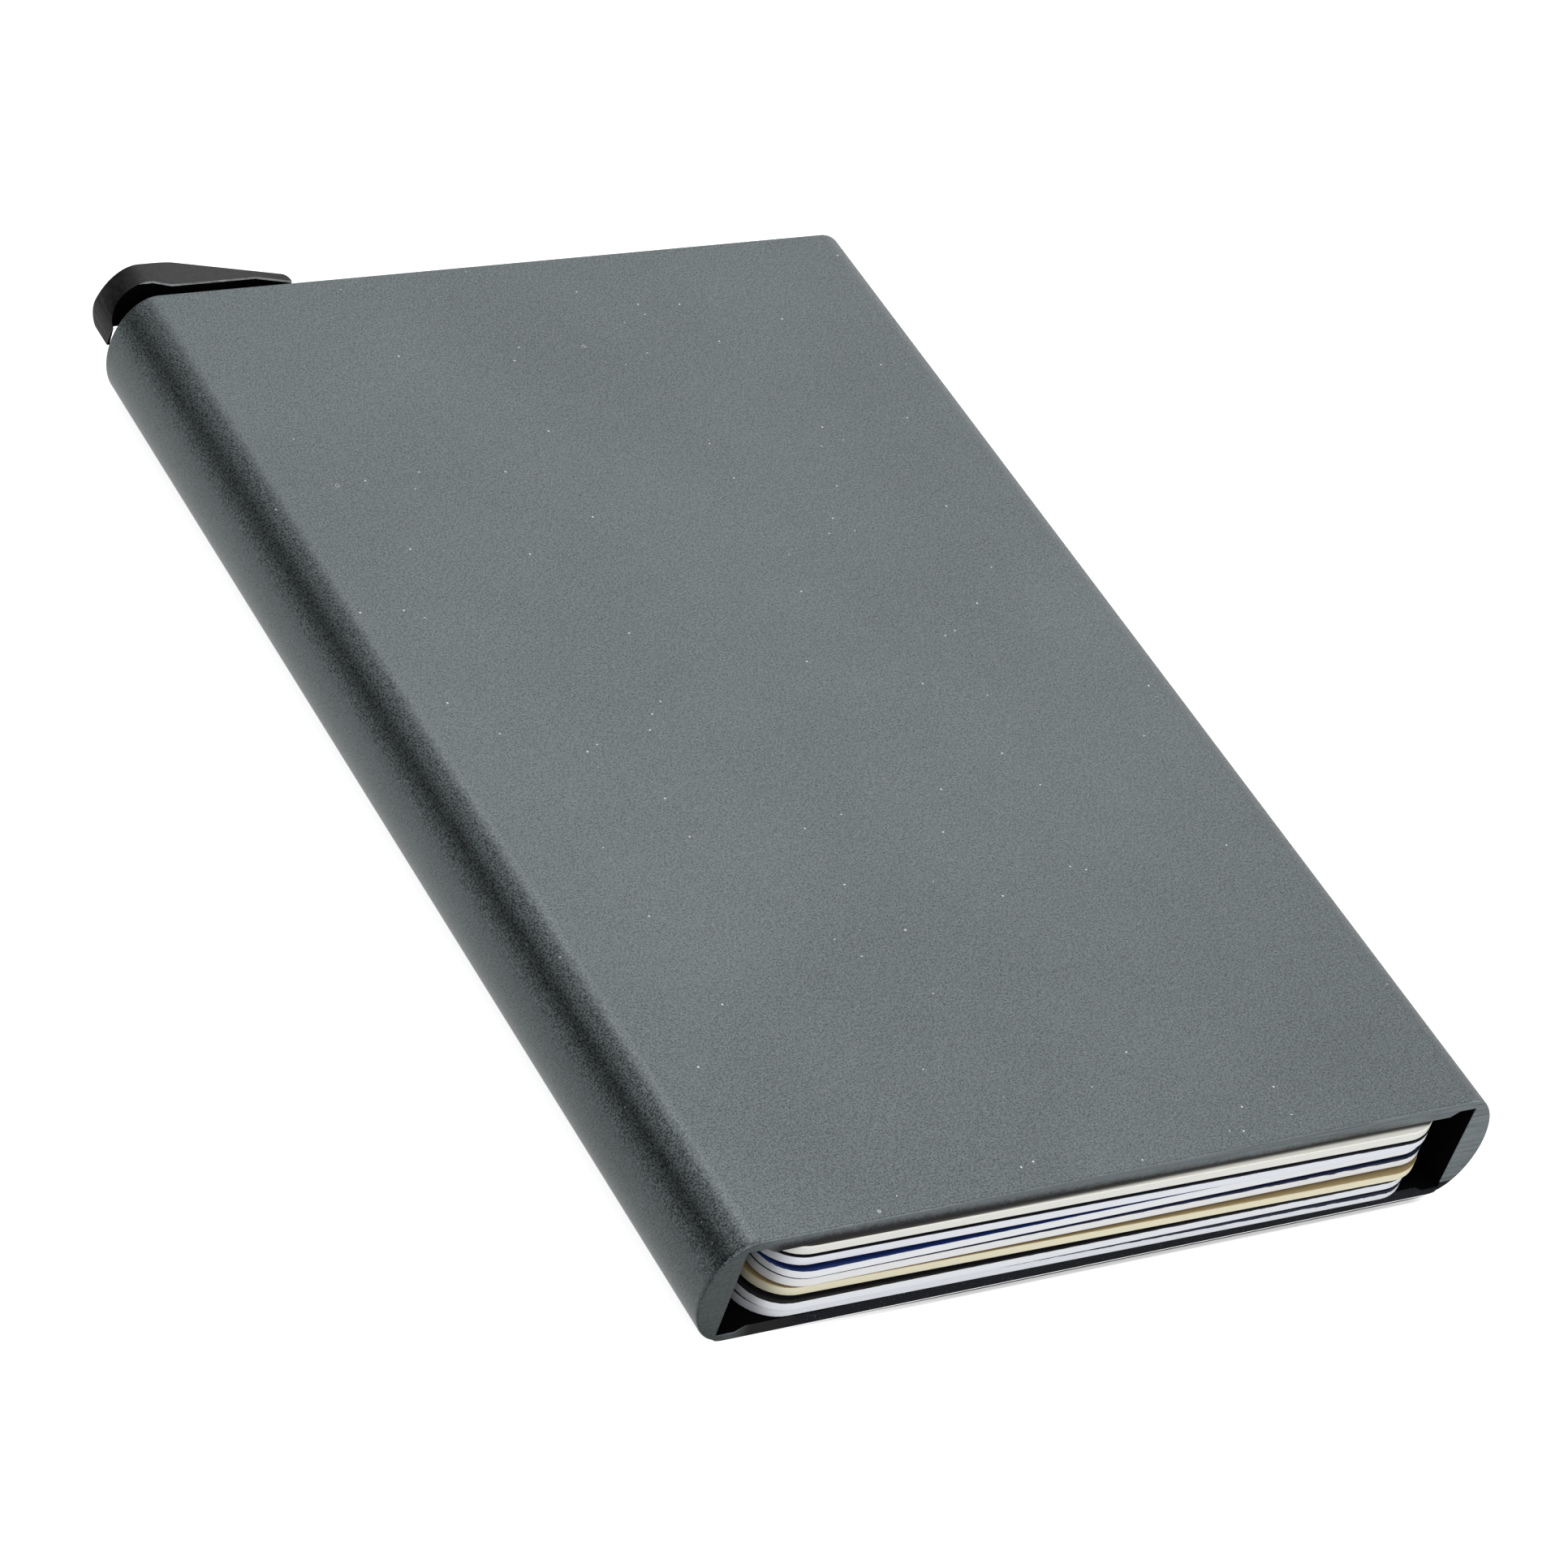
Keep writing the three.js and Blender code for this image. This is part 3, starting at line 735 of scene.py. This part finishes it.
satin = Finish("lever_satin")
place = satin.place()
up = satin.along("Z")
skin = noise(satin, place, 0.35 * mm, detail=4.0, rough=0.6)
facing = satin.node("ShaderNodeTexCoord", output="Normal")
facing = satin.node("ShaderNodeSeparateXYZ", inputs={"Vector": facing})
# Painted light on faces that look up, most mid-top, and a painted reflection on the low tip.
painted_top_light = satin.ramp(facing.output("Z"), 0.2, 0.9, 0.0, top_shine)
painted_tip_reflection = satin.ramp(up, 5 * mm, 6.5 * mm, tip_shine, 0.0)
side = satin.along("X")
midway = satin.ramp(side, -31 * mm, -26 * mm) * satin.ramp(side, -22 * mm, -15 * mm, 1.0, 0.0)
skin_and_painted_sheen = (painted_top_light * midway + painted_tip_reflection) + (skin - 0.5) * 0.8 + 0.1
satin.set(Base_Color=satin.mix(skin_and_painted_sheen, satin_low, satin_high), Roughness=0.30 + 0.15 * skin,
          Normal=bump(satin, skin, depth=0.02 * mm), Specular_IOR_Level=0.34)

# The tab's inner wall lies in the sleeve's shade, painted in as a near-black colour.
# Only its upper edge carries a painted highlight.
lever_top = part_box("ejector_lever")[1].z
highlight_height = 0.17 * mm
inner_dark = (0.0006, 0.0005, 0.0006)
painted_highlight = (0.75, 0.78, 0.80)
faces_sleeve = 0.3
satin_slot, inner_slot = range(2)
inner = Finish("lever_inner_wall")
rim_skin = noise(inner, inner.place(), 0.5 * mm, detail=3.0)
on_painted_highlight = inner.along("Z") > lever_top - highlight_height
inner.set(Base_Color=inner.mix(on_painted_highlight * rim_skin, inner_dark, painted_highlight), Roughness=0.9,
          Normal=bump(inner, rim_skin, depth=0.005 * mm), Specular_IOR_Level=0.05)
lever = moulded("ejector_lever", [(tab_round, True), (mould_round, False)], on_tab)
for face in lever.faces:
    towards_sleeve = face.normal.x - face.normal.y > faces_sleeve
    outside = face.calc_center_median().y > half_length
    face.material_index = inner_slot if towards_sleeve and outside else satin_slot
smooth_piece(lever, "lever_moulding", [satin, inner], "lever", "ejector_lever")


# Pivot pin: a ground steel dowel with broken ends, pressed into the cap's ears. It keeps the CAD
# solid's shape.
steel_low = (0.42, 0.43, 0.44)
steel_high = (0.62, 0.63, 0.64)
steel = Finish("ground_steel")
rings = noise(steel, stretched(steel, steel.place(), (0.1, 0.1, 1)), 0.05 * mm)
steel.set(Base_Color=steel.mix(rings, steel_low, steel_high), Metallic=1.0,
          Roughness=0.22 + 0.15 * rings, Normal=bump(steel, rings, depth=0.002 * mm))
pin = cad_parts["pivot_pin"]
pin.data.materials.clear()
pin.data.materials.append(steel.data)
